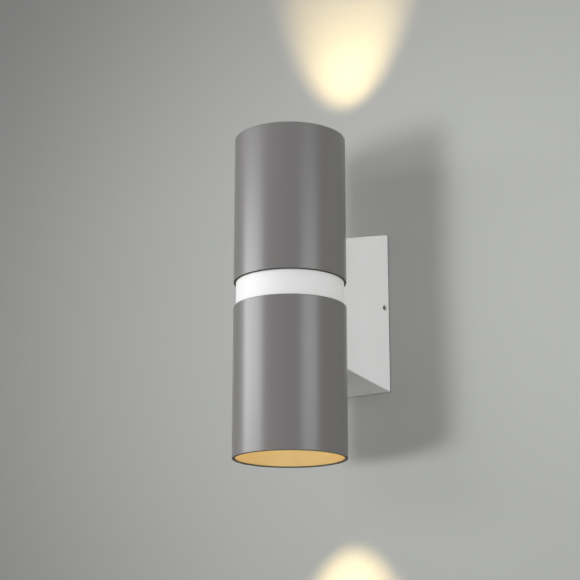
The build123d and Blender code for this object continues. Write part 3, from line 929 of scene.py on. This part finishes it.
@dataclass(frozen=True)
class WallWash:
    """A soft spotlight on the backdrop alone, from the left, whose pool lies to the right of the light."""

    name: str
    shaded: bool
    power: float
    radius: float
    station: tuple[float, float, float]
    aim: tuple[float, float, float] = (0.12, 0.0, 0.0)
    cone: float = 20.0
    blend: float = 1.0

    def light(self, wall: bpy.types.Object) -> None:
        """Set the spotlight up.

        Args:
            wall: the backdrop.
        """
        lamp = bpy.data.lights.new(self.name, "SPOT")
        lamp.spot_size = math.radians(self.cone)
        lamp.spot_blend = self.blend
        lamp.energy = self.power
        lamp.shadow_soft_size = self.radius
        stand = bpy.data.objects.new(self.name, lamp)
        bpy.context.scene.collection.objects.link(stand)
        stand.location = self.station
        stand.rotation_euler = (Vector(self.station) - Vector(self.aim)).to_track_quat("Z", "Y").to_euler()
        stand.visible_camera = False
        washed = bpy.data.collections.new(f"{self.name}_lit")
        washed.objects.link(wall)
        stand.light_linking.receiver_collection = washed
        if not self.shaded:
            stand.light_linking.blocker_collection = washed
        LOG.info("%s falls on %s", self.name, wall.name)


@dataclass(frozen=True)
class LensLight:
    """The light off one lamp's lens: a beam that leans to the wall and a wide glow on the gold ring."""

    end: End
    beam_power: float = 12.0
    beam_cone: float = 47.0
    beam_blend: float = 0.95
    beam_lean: float = 27.5
    beam_radius: float = 4.0 * MM
    beam_tint: str = "FFD69E"
    glow_power: float = 0.034
    glow_radius: float = 21.0 * MM
    glow_tint: str = "FFF2DE"
    lens_gap: float = 0.4 * MM

    def mount(self, light: bpy.types.Light, lean: float, body: str) -> bpy.types.Object:
        """Set a lamp just off the lens, where the camera doesn't see it.

        Args:
            light: the lamp's own settings.
            lean: how far it turns from the tube's axis toward the wall, in degrees.
            body: the body that it moves with.

        Returns:
            The lamp in its place.
        """
        low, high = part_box(self.end.node("lamp_lens"))
        source = bpy.data.objects.new(light.name, light)
        bpy.context.scene.collection.objects.link(source)
        source.location = (low + high) / 2
        source.location.z = high.z + self.lens_gap if self.end is End.UPPER else low.z - self.lens_gap
        # A lamp that isn't turned shines straight down
        turn = math.radians(lean)
        source.rotation_euler.x = math.pi - turn if self.end is End.UPPER else turn
        source.visible_camera = False
        # Mirrored in the cover glass or the gold, it would outshine the lens
        source.visible_glossy = False
        source.visible_transmission = False
        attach(source, body)
        LOG.info("%s shines out of the %s mouth", light.name, self.end.value)
        return source

    def place(self, nodes: dict[str, bpy.types.Object]) -> None:
        """Set up the beam and the glow.

        Args:
            nodes: the model's pieces.
        """
        node = self.end.node
        beam = bpy.data.lights.new(node("beam"), "SPOT")
        beam.spot_size = math.radians(self.beam_cone)
        beam.spot_blend = self.beam_blend
        beam.shadow_soft_size = self.beam_radius
        beam.energy = self.beam_power
        beam.color = linear(self.beam_tint)[:3]
        # A lamp shines alike all round, so the light on the wall stays in its place as the lamp is turned
        self.mount(beam, self.beam_lean, "fixture")
        glow = bpy.data.lights.new(node("glow"), "AREA")
        glow.shape = "DISK"
        glow.size = 2 * self.glow_radius
        glow.energy = self.glow_power
        glow.color = linear(self.glow_tint)[:3]
        # Sampled both ways, a lamp that is linked to one piece leaves a step in its tone
        glow.cycles.use_multiple_importance_sampling = False
        ring = bpy.data.collections.new(node("glow_on_ring"))
        ring.objects.link(nodes[node("reflector")])
        self.mount(glow, 0.0, node("lamp")).light_linking.receiver_collection = ring


@dataclass(frozen=True)
class Studio:
    """The backdrop, the pale floor and the light all round."""

    wall_side: float = 8.0
    wall_gap: float = 0.3 * MM
    floor_drop: float = 1.5
    world_strength: float = 0.77
    world_colour: str = "F2F3F4"

    def sheet(
        self, name: str, corners: Sequence[tuple[float, float, float]], finish: Finish
    ) -> bpy.types.Object:
        """Stretch a flat sheet of the stage.

        Args:
            name: the sheet's name.
            corners: its corners, anticlockwise from the side that shows.
            finish: its paint.

        Returns:
            The sheet.
        """
        mesh = bpy.data.meshes.new(name)
        mesh.from_pydata(corners, [], [range(len(corners))])
        mesh.materials.append(finish.material())
        stage = bpy.data.objects.new(name, mesh)
        bpy.context.scene.collection.objects.link(stage)
        LOG.info("%s is painted in %s", name, finish.name)
        return stage

    def build_stage(self) -> bpy.types.Object:
        """Put up the backdrop behind the light and lay the floor below it.

        Returns:
            The backdrop.
        """
        half = self.wall_side / 2
        floor = -self.floor_drop
        wall = self.sheet(
            "backdrop_wall",
            [
                (-half, self.wall_gap, floor),
                (half, self.wall_gap, floor),
                (half, self.wall_gap, half),
                (-half, self.wall_gap, half),
            ],
            WALL_PAINT,
        )
        self.sheet(
            "studio_floor",
            [(-half, -half, floor), (half, -half, floor), (half, half, floor), (-half, half, floor)],
            FLOOR_PAINT,
        )
        return wall

    def light_world(self) -> None:
        """Fill the room with an even pale light."""
        world = bpy.data.worlds.new("studio_air")
        bpy.context.scene.world = world
        world.use_nodes = True
        air = world.node_tree.nodes["Background"]
        air.inputs["Color"].default_value = linear(self.world_colour)
        air.inputs["Strength"].default_value = self.world_strength


@dataclass(frozen=True)
class PhotoCamera:
    """The camera, below the light and to its right, looking up."""

    lens_mm: float = 93.1
    sensor_mm: float = 36.0
    azimuth: float = 34.6
    pitch: float = 15.38
    distance: float = 0.768
    drop: float = 0.208

    def place(self, axis: Vector) -> None:
        """Set the camera up.

        Args:
            axis: a point on the tubes' axis, at the middle of the collar.
        """
        data = bpy.data.cameras.new("photo_camera")
        data.lens = self.lens_mm
        data.sensor_width = self.sensor_mm
        camera = bpy.data.objects.new("photo_camera", data)
        bpy.context.scene.collection.objects.link(camera)
        turn = math.radians(self.azimuth)
        camera.location = axis + Vector(
            (self.distance * math.sin(turn), -self.distance * math.cos(turn), -self.drop)
        )
        # A camera that isn't turned looks straight down
        camera.rotation_euler = (math.pi / 2 + math.radians(self.pitch), 0.0, turn)
        bpy.context.scene.camera = camera
        LOG.info("the camera looks up by %.1f degrees", self.pitch)


# The key draws the bright gleam down the left of the tubes, and the fill the weak one on the right
KEY = SoftBox(
    "key_softbox", azimuth=-46.0, elevation=12.0, distance=1.3, width=1.1, height=0.34, watts_per_area=30.6
)
FILL = SoftBox(
    "fill_softbox", azimuth=74.0, elevation=11.0, distance=1.3, width=0.75, height=0.32, watts_per_area=17.5
)
# The light casts its shadow in one of the two washes alone, which keeps that shadow pale
OPEN_WASH = WallWash("open_wash", shaded=False, power=215.0, radius=0.2, station=(-0.92, -1.31, 0.22))
SHADED_WASH = WallWash("shaded_wash", shaded=True, power=490.0, radius=0.36, station=(-0.6, -1.45, -0.25))
PLATE_LAMP = BackLamp(
    "plate_lamp",
    azimuth=180.0,
    elevation=0.0,
    distance=1.0,
    width=4.0,
    height=4.0,
    watts_per_area=2.4,
    pieces=("wall_plate", "cable_grommet", "housing_gasket"),
)
TUBE_LAMP = BackLamp(
    "tube_lamp",
    azimuth=180.0,
    elevation=15.0,
    distance=1.0,
    width=0.8,
    height=0.8,
    watts_per_area=4.5,
    pieces=("housing", "collar", "upper_tube", "lower_tube"),
    gleams=False,
)


def main() -> None:
    """Load the model, dress it and set up the studio round it."""
    logging.basicConfig(level=logging.INFO, format="%(message)s")
    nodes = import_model()["nodes"]
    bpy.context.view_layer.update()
    collar_low, collar_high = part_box("collar")
    tube_low, tube_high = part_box("upper_tube")
    axis = Vector((0.0, (tube_low.y + tube_high.y) / 2, (collar_low.z + collar_high.z) / 2))
    WallMount(nodes).dress()
    Housing(nodes).dress()
    for end in End:
        Light(nodes, end).dress()
        LensLight(end).place(nodes)
    studio = Studio()
    wall = studio.build_stage()
    studio.light_world()
    for wash in (OPEN_WASH, SHADED_WASH):
        wash.light(wall)
    for lamp in (KEY, FILL):
        lamp.place(axis)
    for lamp in (PLATE_LAMP, TUBE_LAMP):
        lamp.light(nodes)
    PhotoCamera().place(axis)
    bpy.context.scene.view_settings.view_transform = "Standard"


if __name__ == "__main__":
    main()
